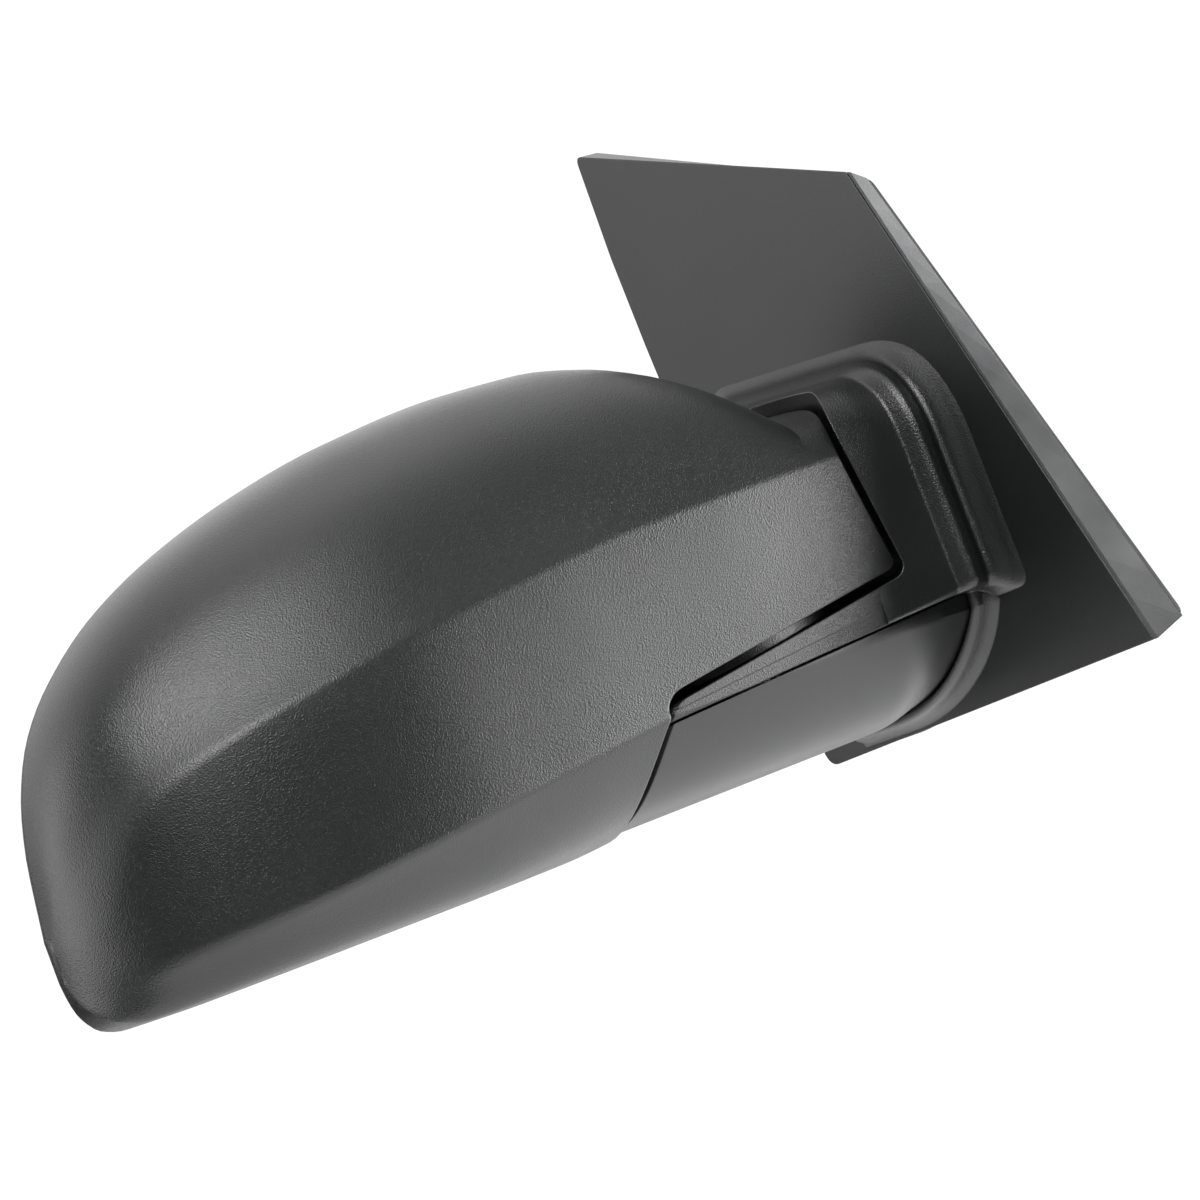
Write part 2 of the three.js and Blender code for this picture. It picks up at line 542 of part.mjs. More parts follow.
add('sail_cover', sailCover(), FINISH.black_smooth);
add('arm_cover', armCover(), FINISH.black_smooth);
add('edge_seal', edgeSeal(), FINISH.rubber);
add('base_gasket', baseGasket(), FINISH.rubber);
add('base_bracket', baseBracket(), FINISH.die_cast);
add('harness_grommet', grommet(), FINISH.rubber);
STUDS.forEach((at, i) => add(`stud_${i + 1}`, stud(...at), FINISH.steel));
add('pivot_post', post(), FINISH.steel);
add('detent_washer', pivotTube(SEAT_W + GAP, LEDGE_W, 18, POST_R + 0.35), FINISH.steel);
add('fold_spring', foldSpring(), FINISH.steel);
add('spring_retainer', pivotTube(56.3, 59, 14.5, POST_R + 0.35), FINISH.steel);

add('head_shell', headShell(), FINISH.black_grain);
add('rear_bezel', rearBezel(), FINISH.black_grain);
add('head_frame', headFrame(), FINISH.inner_plastic);
FRAME_SCREWS.forEach(([x, z], i) =>
  add(`frame_screw_${i + 1}`, screwY(x, -14.5, z, 3.8, 2.2, 1.8, 12.2), FINISH.steel));
add('actuator_case', actuatorCase(), FINISH.inner_plastic);
add('actuator_cover', actuatorCover(), FINISH.inner_plastic);
add('yaw_motor', motor('z', -236, -6, -2, 25), FINISH.steel);
add('pitch_motor', motor('x', -6, 35, -223, -196), FINISH.steel);
CASE_SCREWS.forEach(([x, z], i) =>
  add(`case_screw_${i + 1}`, screwY(x, 7.5, z, 3.4, 2.2, 1.5, 28), FINISH.steel));

add('gimbal_ring', gimbalRing(), FINISH.inner_plastic);
add('glass_backing', glassBacking(), FINISH.inner_plastic);
add('heater_pad', heaterPad(), FINISH.heater);
add('mirror_glass', mirrorGlass(), FINISH.mirror);
add('yaw_plunger', plunger(GLASS_X + LEVER, GLASS_Z), FINISH.inner_plastic);
add('pitch_plunger', plunger(GLASS_X, GLASS_Z - LEVER), FINISH.inner_plastic);

export default mirror;
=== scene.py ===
import math

import bmesh
import bpy
import numpy as np
from mathutils import Matrix, Vector


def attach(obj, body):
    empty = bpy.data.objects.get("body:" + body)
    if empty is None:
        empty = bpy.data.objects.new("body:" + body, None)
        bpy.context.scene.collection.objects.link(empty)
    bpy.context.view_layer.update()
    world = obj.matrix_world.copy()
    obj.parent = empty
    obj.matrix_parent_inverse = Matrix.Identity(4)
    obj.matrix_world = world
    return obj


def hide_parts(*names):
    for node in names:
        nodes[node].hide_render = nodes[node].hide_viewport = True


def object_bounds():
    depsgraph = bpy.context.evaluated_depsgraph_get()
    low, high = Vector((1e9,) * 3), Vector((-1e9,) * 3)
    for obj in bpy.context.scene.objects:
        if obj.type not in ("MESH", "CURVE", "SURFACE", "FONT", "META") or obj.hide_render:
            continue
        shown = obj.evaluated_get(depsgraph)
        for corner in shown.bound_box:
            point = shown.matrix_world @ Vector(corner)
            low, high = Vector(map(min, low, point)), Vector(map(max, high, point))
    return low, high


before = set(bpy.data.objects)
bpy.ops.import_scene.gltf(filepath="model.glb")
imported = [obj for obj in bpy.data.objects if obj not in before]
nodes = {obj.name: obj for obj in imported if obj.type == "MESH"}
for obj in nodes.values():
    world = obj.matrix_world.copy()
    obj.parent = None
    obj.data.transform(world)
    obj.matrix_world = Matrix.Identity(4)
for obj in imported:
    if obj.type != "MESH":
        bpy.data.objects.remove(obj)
cad_low, cad_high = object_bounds()

# ---------------------------------------------------------------- camera
# A long lens in front of the mirror and to its outboard side, a little below it and rolled over.
aim_point = Vector((-0.115, 0.010, 0.010))
lens_distance = 1.060
azimuth, elevation, roll = math.radians(30), math.radians(-3), math.radians(21)
towards_camera = Vector((-math.sin(azimuth) * math.cos(elevation),
                         -math.cos(azimuth) * math.cos(elevation), math.sin(elevation)))
lens = bpy.data.cameras.new("camera")
lens.lens = 100
lens.sensor_width = 36
lens.clip_start = 0.05
lens.clip_end = 60
camera = bpy.data.objects.new("camera", lens)
camera.location = aim_point + towards_camera * lens_distance
camera.rotation_mode = "QUATERNION"
level_view = (-towards_camera).to_track_quat("-Z", "Y").to_matrix()
camera.rotation_quaternion = (level_view @ Matrix.Rotation(-roll, 3, "Z")).to_quaternion()
bpy.context.scene.collection.objects.link(camera)
bpy.context.scene.camera = camera

# ---------------------------------------------------------------- studio
# A sheet of white paper well below the mirror, and a dark room with soft boxes round its walls.
# The lens itself sees a plain white backdrop.
paper_drop = 0.40
bpy.ops.mesh.primitive_plane_add(size=1.5, location=(-0.1, 0, cad_low[2] - paper_drop))
paper_floor = bpy.context.object
paper_floor.name = "paper_floor"
paper = bpy.data.materials.new("white_paper")
paper.use_nodes = True
paper_fibre = paper.node_tree.nodes.new("ShaderNodeTexNoise")
paper_fibre.inputs["Scale"].default_value = 40
paper_tone = paper.node_tree.nodes.new("ShaderNodeMapRange")
paper_tone.inputs["To Min"].default_value = 0.90
paper_tone.inputs["To Max"].default_value = 0.94
paper_shader = paper.node_tree.nodes["Principled BSDF"]
paper_shader.inputs["Roughness"].default_value = 0.95
paper_shader.inputs["Emission Color"].default_value = (1, 1, 1, 1)
paper_shader.inputs["Emission Strength"].default_value = 0.40
paper.node_tree.links.new(paper_fibre.outputs["Fac"], paper_tone.inputs["Value"])
paper.node_tree.links.new(paper_tone.outputs["Result"], paper_shader.inputs["Base Color"])
paper_floor.data.materials.append(paper)

room = bpy.data.worlds.new("studio_room")
bpy.context.scene.world = room
room.use_nodes = True
walls = room.node_tree
walls.nodes.clear()
wall_place = walls.nodes.new("ShaderNodeTexCoord")


def soft_box(azimuth_deg, elevation_deg, full_deg, edge_deg, strength):
    """Glow on the wall round one direction, even out to full_deg and gone at edge_deg."""
    az, el = math.radians(azimuth_deg), math.radians(elevation_deg)
    toward = walls.nodes.new("ShaderNodeVectorMath")
    toward.operation = "DOT_PRODUCT"
    toward.inputs[1].default_value = (math.sin(az) * math.cos(el), -math.cos(az) * math.cos(el),
                                      math.sin(el))
    fade = walls.nodes.new("ShaderNodeMapRange")
    fade.interpolation_type = "SMOOTHSTEP"
    fade.inputs["From Min"].default_value = math.cos(math.radians(edge_deg))
    fade.inputs["From Max"].default_value = math.cos(math.radians(full_deg))
    fade.inputs["To Min"].default_value = 0
    fade.inputs["To Max"].default_value = strength
    walls.links.new(wall_place.outputs["Generated"], toward.inputs[0])
    walls.links.new(toward.outputs["Value"], fade.inputs["Value"])
    return fade.outputs["Result"]


bare_wall = 0.08
glow = None
for box_light in (
        soft_box(69, -10, 31, 38, 16.5),   # broad, in front and inboard
        soft_box(-32, 36, 11, 21, 16.0),   # small, high in front and outboard
        soft_box(-115, 10, 14, 34, 4.2),   # off the outboard end
        soft_box(180, 60, 30, 62, 1.6),    # high behind
        soft_box(40, 75, 12, 40, 1.2),     # overhead
        soft_box(140, -4, 16, 44, 0.9)):   # low behind, for the glass
    total = walls.nodes.new("ShaderNodeMath")
    total.operation = "ADD"
    walls.links.new(box_light, total.inputs[0])
    if glow is None:
        total.inputs[1].default_value = bare_wall
    else:
        walls.links.new(glow, total.inputs[1])
    glow = total.outputs["Value"]
room_light = walls.nodes.new("ShaderNodeBackground")
walls.links.new(glow, room_light.inputs["Strength"])
backdrop = walls.nodes.new("ShaderNodeBackground")
backdrop.inputs["Color"].default_value = (1, 1, 1, 1)
backdrop.inputs["Strength"].default_value = 1.05
first_sight = walls.nodes.new("ShaderNodeLightPath")
room_mix = walls.nodes.new("ShaderNodeMixShader")
room_out = walls.nodes.new("ShaderNodeOutputWorld")
walls.links.new(first_sight.outputs["Is Camera Ray"], room_mix.inputs["Fac"])
walls.links.new(room_light.outputs["Background"], room_mix.inputs[1])
walls.links.new(backdrop.outputs["Background"], room_mix.inputs[2])
walls.links.new(room_mix.outputs["Shader"], room_out.inputs["Surface"])
bpy.context.scene.view_settings.view_transform = "Standard"

# ---------------------------------------------------------------- base bracket
# Zinc die casting bolted to the door: a plate, an arm out to the fold post and a round seat.
# The skin is dull and slightly pitted, with faint flow marks from the die.


def finish(name):
    """A new surface finish: its node tree, its shader and the material."""
    coat = bpy.data.materials.new(name)
    coat.use_nodes = True
    return coat.node_tree, coat.node_tree.nodes["Principled BSDF"], coat


def noise(tree, scale, detail=3, stretch=None):
    """Noise fixed to the piece, drawn out along an axis by stretch."""
    place = tree.nodes.new("ShaderNodeTexCoord")
    grain = tree.nodes.new("ShaderNodeTexNoise")
    grain.inputs["Scale"].default_value = scale
    grain.inputs["Detail"].default_value = detail
    if stretch:
        pull = tree.nodes.new("ShaderNodeMapping")
        pull.inputs["Scale"].default_value = stretch
        tree.links.new(place.outputs["Object"], pull.inputs["Vector"])
        tree.links.new(pull.outputs["Vector"], grain.inputs["Vector"])
    else:
        tree.links.new(place.outputs["Object"], grain.inputs["Vector"])
    return grain.outputs["Fac"]


def spread(tree, source, low, high, socket):
    """Drives a socket from low to high over a noise's middle range."""
    to = tree.nodes.new("ShaderNodeMapRange")
    to.inputs["From Min"].default_value = 0.3
    to.inputs["From Max"].default_value = 0.7
    to.inputs["To Min"].default_value = low
    to.inputs["To Max"].default_value = high
    tree.links.new(source, to.inputs["Value"])
    tree.links.new(to.outputs["Result"], socket)


def tones(tree, source, dark, light, socket):
    """Colours a socket from dark to light over a noise's middle range."""
    ramp = tree.nodes.new("ShaderNodeValToRGB")
    ramp.color_ramp.elements[0].position = 0.3
    ramp.color_ramp.elements[0].color = (*dark, 1)
    ramp.color_ramp.elements[1].position = 0.7
    ramp.color_ramp.elements[1].color = (*light, 1)
    tree.links.new(source, ramp.inputs["Fac"])
    tree.links.new(ramp.outputs["Color"], socket)


def raised(tree, shader, source, depth_mm, edge_mm):
    """Surface relief, laid over edges rounded off by edge_mm."""
    edge = tree.nodes.new("ShaderNodeBevel")
    edge.samples = 8
    edge.inputs["Radius"].default_value = edge_mm / 1000
    bump = tree.nodes.new("ShaderNodeBump")
    bump.inputs["Distance"].default_value = depth_mm / 1000
    tree.links.new(source, bump.inputs["Height"])
    tree.links.new(edge.outputs["Normal"], bump.inputs["Normal"])
    tree.links.new(bump.outputs["Normal"], shader.inputs["Normal"])


def dress(material, *names):
    """Gives the named pieces of the frame one material."""
    for name in names:
        nodes[name].data.materials.clear()
        nodes[name].data.materials.append(material)


tree, shader, die_cast_zinc = finish("die_cast_zinc")
shader.inputs["Metallic"].default_value = 1.0
tones(tree, noise(tree, 60), (0.30, 0.31, 0.32), (0.46, 0.47, 0.48), shader.inputs["Base Color"])
spread(tree, noise(tree, 220), 0.42, 0.60, shader.inputs["Roughness"])
raised(tree, shader, noise(tree, 900, 4), 0.08, 0.5)
dress(die_cast_zinc, "base_bracket")

# ---------------------------------------------------------------- studs
# Three M6 studs with flat heads, pressed into the bracket to take the nuts inside the door.
# Zinc plated steel with rolled threads.
tree, shader, plated_thread = finish("plated_thread")
shader.inputs["Metallic"].default_value = 1.0
tones(tree, noise(tree, 300), (0.42, 0.41, 0.38), (0.60, 0.59, 0.56), shader.inputs["Base Color"])
spread(tree, noise(tree, 150), 0.28, 0.42, shader.inputs["Roughness"])
thread_place = tree.nodes.new("ShaderNodeTexCoord")
thread = tree.nodes.new("ShaderNodeTexWave")
thread.bands_direction = "X"
thread.wave_profile = "TRI"
thread.inputs["Scale"].default_value = 314    # one ridge to the millimetre
tree.links.new(thread_place.outputs["Object"], thread.inputs["Vector"])
raised(tree, shader, thread.outputs["Fac"], 0.35, 0.2)
dress(plated_thread, "stud_1", "stud_2", "stud_3")

# ---------------------------------------------------------------- gasket and grommet
# Soft black rubber: a flat gasket under the edge of the base, and the grommet the harness would
# come through. Matt, with talc left in the pores.
tree, shader, black_rubber = finish("black_rubber")
tones(tree, noise(tree, 90), (0.012, 0.012, 0.013), (0.026, 0.026, 0.027),
      shader.inputs["Base Color"])
spread(tree, noise(tree, 60), 0.72, 0.88, shader.inputs["Roughness"])
raised(tree, shader, noise(tree, 1400, 4), 0.06, 0.4)
dress(black_rubber, "base_gasket", "harness_grommet")

# ---------------------------------------------------------------- sail cover
# The visible base: a flat plate against the door, a raised boss with a beaded rim, the round
# socket that the neck of the head turns in, and the ledge under it. One injection moulding in
# black, with a pebble grain on the boss and the ledge and a finer one on the plate.
MM = 0.001
PIVOT, TILT = Vector((-92, 0, -22)), math.radians(8)    # fold axis
WALL = 2.6
SOCKET_R, PAD_R = 70, 61.5    # round the fold axis
LEDGE_W = -2.3                # height along the fold axis
LEDGE_DROP, LEDGE_FALL = 10.6, 3.2


def smoothstep(x, low, high):
    t = min(max((x - low) / (high - low), 0), 1)
    return t * t * (3 - 2 * t)


def through(*pairs):
    """A smooth curve through (x, value) pairs that never overshoots them."""
    pairs = sorted(pairs)
    xs = np.array([p[0] for p in pairs], float)
    vs = np.array([p[1] for p in pairs], float)
    slope = np.diff(vs) / np.diff(xs)
    lean = np.concatenate([slope[:1], np.zeros(len(xs) - 2), slope[-1:]])
    for i in range(1, len(xs) - 1):
        a, b = slope[i - 1], slope[i]
        lean[i] = 0 if a * b <= 0 else 2 * a * b / (a + b)

    def value(x):
        q = min(max(x, xs[0]), xs[-1])
        i = min(int(np.searchsorted(xs, q, side="right")) - 1, len(xs) - 2)
        h = xs[i + 1] - xs[i]
        t = (q - xs[i]) / h
        return ((2 * t**3 - 3 * t**2 + 1) * vs[i] + (t**3 - 2 * t**2 + t) * h * lean[i]
                + (3 * t**2 - 2 * t**3) * vs[i + 1] + (t**3 - t**2) * h * lean[i + 1])
    return value


def bezier(a, b, c, d, steps=32):
    """Points along a cubic curve."""
    t = np.linspace(0, 1, steps + 1)[:, None]
    a, b, c, d = (np.array(p, float) for p in (a, b, c, d))
    return (1 - t)**3 * a + 3 * (1 - t)**2 * t * b + 3 * (1 - t) * t * t * c + t**3 * d


def rounded(corners, steps=8):
    """Closed outline through (x, y, radius) corners."""
    points = []
    for i, (x, y, r) in enumerate(corners):
        here = np.array([x, y], float)
        if r == 0:
            points.append(here)
            continue
        to_last = np.array(corners[i - 1][:2], float) - here
        to_next = np.array(corners[(i + 1) % len(corners)][:2], float) - here
        start = here + to_last / np.linalg.norm(to_last) * r
        end = here + to_next / np.linalg.norm(to_next) * r
        for t in np.linspace(0, 1, steps + 1):
            points.append((1 - t)**2 * start + 2 * (1 - t) * t * here + t * t * end)
    return points


def arc(x, y, r, start, end, steps=8):
    """Points along part of a circle, from start to end degrees."""
    return [(x + r * math.cos(math.radians(a)), y + r * math.sin(math.radians(a)))
            for a in np.linspace(start, end, steps + 1)]


def body_of(name, points, faces, on_pivot=False):
    """Closed body from points in millimetres, with its faces turned outwards."""
    shell = bmesh.new()
    corners = [shell.verts.new(Vector([float(v) * MM for v in p])) for p in points]
    for face in faces:
        if len(set(face)) > 2:
            shell.faces.new([corners[i] for i in face])
    bmesh.ops.remove_doubles(shell, verts=shell.verts, dist=1e-6)
    bmesh.ops.recalc_face_normals(shell, faces=shell.faces)
    mesh = bpy.data.meshes.new(name)
    shell.to_mesh(mesh)
    shell.free()
    if on_pivot:
        mesh.transform(Matrix.Translation(PIVOT * MM) @ Matrix.Rotation(-TILT, 4, "Y"))
    piece = bpy.data.objects.new(name, mesh)
    bpy.context.scene.collection.objects.link(piece)
    return piece


def loft(name, rings):
    """Closed body skinned over rings of points, which all have the same count."""
    n = len(rings[0])
    last = (len(rings) - 1) * n
    faces = [(r * n + i, r * n + (i + 1) % n, (r + 1) * n + (i + 1) % n, (r + 1) * n + i)
             for r in range(len(rings) - 1) for i in range(n)]
    faces += [tuple(reversed(range(n))), tuple(last + i for i in range(n))]
    return body_of(name, np.vstack(rings), faces)


def turned(name, profile, sides=240):
    """Body turned about the fold axis from (radius, height) points that start and end on it."""
    inner = profile[1:-1]
    n = len(inner)
    points = [(r * math.cos(a), r * math.sin(a), w)
              for a in np.linspace(0, 2 * math.pi, sides, endpoint=False) for r, w in inner]
    low, high = len(points), len(points) + 1
    points += [(0, 0, profile[0][1]), (0, 0, profile[-1][1])]
    faces = []
    for s in range(sides):
        a, b = s * n, (s + 1) % sides * n
        faces += [(low, b, a), (high, a + n - 1, b + n - 1)]
        faces += [(a + i, b + i, b + i + 1, a + i + 1) for i in range(n - 1)]
    return body_of(name, points, faces, on_pivot=True)


def brick(name, x0, x1, y0, y1, z0, z1, on_pivot=True):
    """Block between two corners, laid out from the fold axis unless told otherwise."""
    points = [(x, y, z) for x in (x0, x1) for y in (y0, y1) for z in (z0, z1)]
    faces = [(0, 1, 3, 2), (4, 6, 7, 5), (0, 4, 5, 1), (2, 3, 7, 6), (0, 2, 6, 4), (1, 5, 7, 3)]
    return body_of(name, points, faces, on_pivot)


def combine(piece, operation, tools):
    """Cuts, joins or trims a piece with each tool in turn, and uses the tools up."""
    for tool in tools:
        step = piece.modifiers.new("step", "BOOLEAN")
        step.operation = operation
        step.solver = "EXACT"
        step.object = tool
        bpy.context.view_layer.update()
        whole = bpy.data.meshes.new_from_object(piece.evaluated_get(
            bpy.context.evaluated_depsgraph_get()))
        piece.modifiers.clear()
        whole.name = piece.name
        piece.data = whole
        bpy.data.objects.remove(tool)
    return piece


def cut(piece, *tools):
    return combine(piece, "DIFFERENCE", tools)


def join(piece, *tools):
    return combine(piece, "UNION", tools)


def common(piece, tool):
    return combine(piece, "INTERSECT", [tool])


def smooth(piece, angle=30):
    """Shades a piece smooth wherever its faces meet at less than angle degrees."""
    piece.data.polygons.foreach_set("use_smooth", [True] * len(piece.data.polygons))
    with bpy.context.temp_override(object=piece, active_object=piece, selected_objects=[piece],
                                   selected_editable_objects=[piece]):
        bpy.ops.object.shade_smooth_by_angle(angle=math.radians(angle))
    return piece


PLATE_X, EDGE_X, SKIN, SEAL_T = -9, -1.6, 2.5, 2.4
# corners of the plate as (y, z, radius)
plate_rear = [(84, -68, 6), (94.5, 20, 0), (98, 96, 0), (98.5, 130, 0), (96.5, 168.6, 4)]
face_front = [(-53.2, 108.9, 3), (-111.9, -63.7, 3)]
edge_front = [(-50.5, 106, 3), (-117.5, -60, 3)]
# the front face, shared by the arm and the head
front_y = through((-14, -43), (-46, -44.6), (-100, -46), (-150, -45.6), (-200, -43.8), (-250, -41),
                  (-319, -38))


def front_row(front, d):
    """The front edge of the plate, moved rearward along its top and bottom edges by d."""
    ends = []
    for here, there in ((front[0], plate_rear[-1]), (front[1], plate_rear[0])):
        a, b = np.array(here[:2], float), np.array(there[:2], float)
        ends.append(a + (b - a) / np.linalg.norm(b - a) * d)
    return [ends[0] + (ends[1] - ends[0]) * t for t in np.linspace(0, 1, 13)]


def plate_ring(front, x):
    """Outline of the plate at one depth, its front edge set back to make room for the seal."""
    corners = [(p[0], p[1], 0) for p in front_row(front, SEAL_T)] + plate_rear
    return [(x, y, z) for y, z in rounded(corners)]


def drawn_in(corners, d):
    """The same outline moved inwards by d, corner by corner."""
    moved = []
    for i, (x, y, r) in enumerate(corners):
        sides = []
        for a, b in ((corners[i - 1], corners[i]), (corners[i], corners[(i + 1) % len(corners)])):
            v = np.array([b[0] - a[0], b[1] - a[1]], float)
            v /= np.linalg.norm(v)
            sides.append((np.array([a[0] - v[1] * d, a[1] + v[0] * d]), v))
        (p, v), (q, w) = sides
        t = ((q[0] - p[0]) * w[1] - (q[1] - p[1]) * w[0]) / (v[0] * w[1] - v[1] * w[0])
        at = p + v * t
        moved.append((at[0], at[1], r))
    return moved


def arm_section(x, d):
    """Section of the arm, drawn in by d: front face, lower facet, underside and rear."""
    t = smoothstep(x, -46, -9)

    def mix(a, b):
        return a + (b - a) * t
    front, low, rear = mix(front_y(x), -40) + d, mix(-61.6, -59) + d, mix(30, 52) - d
    facet = bezier((front + 2, mix(-33.5, -35)), (mix(-32, -26) + d, mix(-50, -46) + d),
                   (mix(-20, -4), low), (mix(0, 26), low))
    ring = [(rear, 8), (front, 8), (front - 1, -12), *facet, (rear, low)]
    return [(x, y, z) for y, z in ring]


def arm_loft(d, start, end):
    stations = np.concatenate([[start], np.linspace(-110, -12, 34), [end]])
    return loft("arm", [arm_section(x, d) for x in stations if start <= x <= end])


# the boss from its socket end to the plate; its front swells into a bead and flares out
boss_front = through((-52, -44.5), (-47.5, -44.8), (-39, -46.1), (-30, -47.6), (-27, -48.2),
                     (-25.3, -48.6), (-23.6, -50.6), (-21.8, -52.6), (-20, -53.5),
                     (-18.2, -53.3), (-16.2, -52.3), (-14.6, -51.6), (-13.2, -52.4),
                     (-10.6, -57.4), (-9.2, -62), (-6.3, -68))
boss_top = through((-52, 46), (-38, 46.4), (-27, 47.4), (-18, 50), (-12, 52), (-9, 54), (-6.3, 57))
boss_corner = through((-52, 20), (-36, 20), (-24, 25), (-16, 29), (-11, 34), (-6.3, 44))
boss_rear = through((-52, 42), (-26, 54), (-12, 68), (-6.3, 80))
boss_low = through((-52, -30.3), (-40, -29.7), (-24, -29.1), (-16, -29.6), (-12, -31), (-9, -34),
                   (-6.3, -37))
boss_foot = through((-52, 1.2), (-30, 2), (-20, 4.5), (-6.3, 6))


def boss_loft(d, stations):
    """The boss drawn in by d, with its top rising to the rear."""
    rear_rise = 0.12
    rings = []
    for x in stations:
        f, r, t, b = boss_front(x) + d, boss_rear(x) - d, boss_top(x) - d, boss_low(x) + d
        c = boss_corner(x)
        corners = [(f, t, c), (f, b, boss_foot(x)), (r, b, 8), (r, t + rear_rise * (r - f), 14)]
        rings.append([(x, y, z) for y, z in rounded(corners, 12)])
    return loft("boss", rings)


def sweep_tool(extra):
    """Room that the neck of the head sweeps, open at the top, with a rounded foot."""
    r, w = SOCKET_R + extra, LEDGE_W - extra
    return turned("sweep", [(0, w), *arc(r - 4, w + 4, 4, -90, 0), (r, 200), (0, 200)])


def past_round_end(extra):
    """Everything outboard of the round end of the arm, whose upper edge is rounded over."""
    r, w = PAD_R - extra, LEDGE_W - extra
    keep = turned("keep", [(0, -125), (r, -125), *arc(r - 2.5, w - 2.5, 2.5, 0, 90), (0, w)])
    return cut(brick("past", -220, 0, -120, 120, -120, 160), keep)


def below_line(drop, fall):
    """Everything under a line across the arm, drop below the fold axis and falling outboard."""
    run = 400
    rise = math.tan(math.radians(fall)) * run
    level = PIVOT.z - drop
    points = [(x, y, z) for x, top in ((PIVOT.x - run, level - rise), (PIVOT.x + run, level + rise))
              for y in (-200, 200) for z in (-400, top)]
    faces = [(0, 1, 3, 2), (4, 6, 7, 5), (0, 4, 5, 1), (2, 3, 7, 6), (0, 2, 6, 4), (1, 5, 7, 3)]
    return body_of("below", points, faces)


ledge = cut(arm_loft(0, -158, -8), below_line(LEDGE_DROP, LEDGE_FALL), past_round_end(0))
band_block = brick("band", -158, -30, -80, -20, -60, -10, on_pivot=False)
band_face = loft("band_face", [arm_section(x, 1.3 - 1.28 * smoothstep(x, -78, -50))
                               for x in np.linspace(-160, -28, 45)])
lower_band = cut(common(band_block, below_line(6.6, 4.9)), band_face)
ledge = cut(ledge, lower_band)
collar_flare = [(-8.5, -8), (-9.2, -6.6), (-10, -5.6), (-11.2, -4.7), (-12.8, -4), (-14.4, -3.5),
                (-15.6, -2.9), (-16.3, -2), (-16.6, -1)]
collar = loft("collar", [arm_section(x, d) for x, d in reversed(collar_flare)])
sail_cover = loft("sail_cover_moulding",
                  [plate_ring(face_front, PLATE_X), plate_ring(edge_front, EDGE_X)])
boss_stations = np.concatenate([[-52, -46], np.linspace(-41, -9, 80), [-7.6, -6.3]])
join(sail_cover, ledge, boss_loft(0, boss_stations), collar)
cut(sail_cover, sweep_tool(0))
pocket_outline = rounded(drawn_in(face_front + plate_rear, SEAL_T + SKIN + 3))
cut(sail_cover, loft("pocket", [[(x, y, z) for y, z in pocket_outline]
                                for x in (PLATE_X + SKIN, 5)]))
cut(sail_cover, cut(arm_loft(WALL, -155, -6), sweep_tool(WALL), past_round_end(WALL)))
cut(sail_cover, cut(boss_loft(WALL, [-52, -40, -26, -18, -12, -9, -6.3]), sweep_tool(WALL)))
cut(sail_cover, common(arm_loft(-0.4, -58, -11.1), below_line(LEDGE_DROP, LEDGE_FALL)))
cut(sail_cover, turned("post_hole", [(0, -12), (23, -12), (23, 4), (0, 4)], 96))
smooth(sail_cover)


def moulded_black(name, tone, roughness, cell_mm, depth_mm, edge_mm):
    """Black moulded plastic with a pebble grain, worn a little shinier in patches."""
    tree, shader, coat = finish(name)
    place = tree.nodes.new("ShaderNodeTexCoord")
    pebble = tree.nodes.new("ShaderNodeTexVoronoi")
    pebble.feature = "SMOOTH_F1"
    pebble.inputs["Scale"].default_value = 1000 / cell_mm
    pebble.inputs["Smoothness"].default_value = 0.5
    tree.links.new(place.outputs["Object"], pebble.inputs["Vector"])
    relief = tree.nodes.new("ShaderNodeMath")
    relief.operation = "MULTIPLY_ADD"
    relief.inputs[1].default_value = 0.7
    tree.links.new(noise(tree, 1500 / cell_mm, 2), relief.inputs[0])
    tree.links.new(pebble.outputs["Distance"], relief.inputs[2])
    raised(tree, shader, relief.outputs["Value"], depth_mm, edge_mm)
    dark, light = [t * 0.85 for t in tone], [t * 1.2 for t in tone]
    tones(tree, noise(tree, 25, 4), dark, light, shader.inputs["Base Color"])
    spread(tree, noise(tree, 14, 3), roughness - 0.03, roughness + 0.04,
           shader.inputs["Roughness"])
    return coat


pebble_black = moulded_black("pebble_black", (0.0058, 0.0062, 0.0064), 0.31, 0.48, 0.085, 0.7)
satin_black = moulded_black("satin_black", (0.0052, 0.0056, 0.0058), 0.38, 0.6, 0.022, 0.6)
sail_cover.data.materials.append(pebble_black)
sail_cover.data.materials.append(satin_black)
for face in sail_cover.data.polygons:
    flat_skin = face.center.x > (PLATE_X - 0.1) * MM
    face.material_index = 1 if flat_skin else 0
    face.use_smooth = not flat_skin
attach(sail_cover, "base")
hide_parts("sail_cover")

# ---------------------------------------------------------------- lower arm cover
# The smooth cover under the arm, clipped up from below after the bracket is bolted in. Same black
# plastic with a finer skin; a narrow gap shows all round it.
COVER_INSET, COVER_GAP = 0.6, 0.7
arm_cover = common(arm_loft(COVER_INSET, -158, -11.5),
                   below_line(LEDGE_DROP + COVER_GAP, LEDGE_FALL))
cut(arm_cover, past_round_end(0),
    cut(arm_loft(COVER_INSET + WALL, -155, -4), past_round_end(WALL)))
smooth(arm_cover)
arm_cover.name = "arm_cover_moulding"
arm_cover.data.materials.append(satin_black)
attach(arm_cover, "base")
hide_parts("arm_cover")

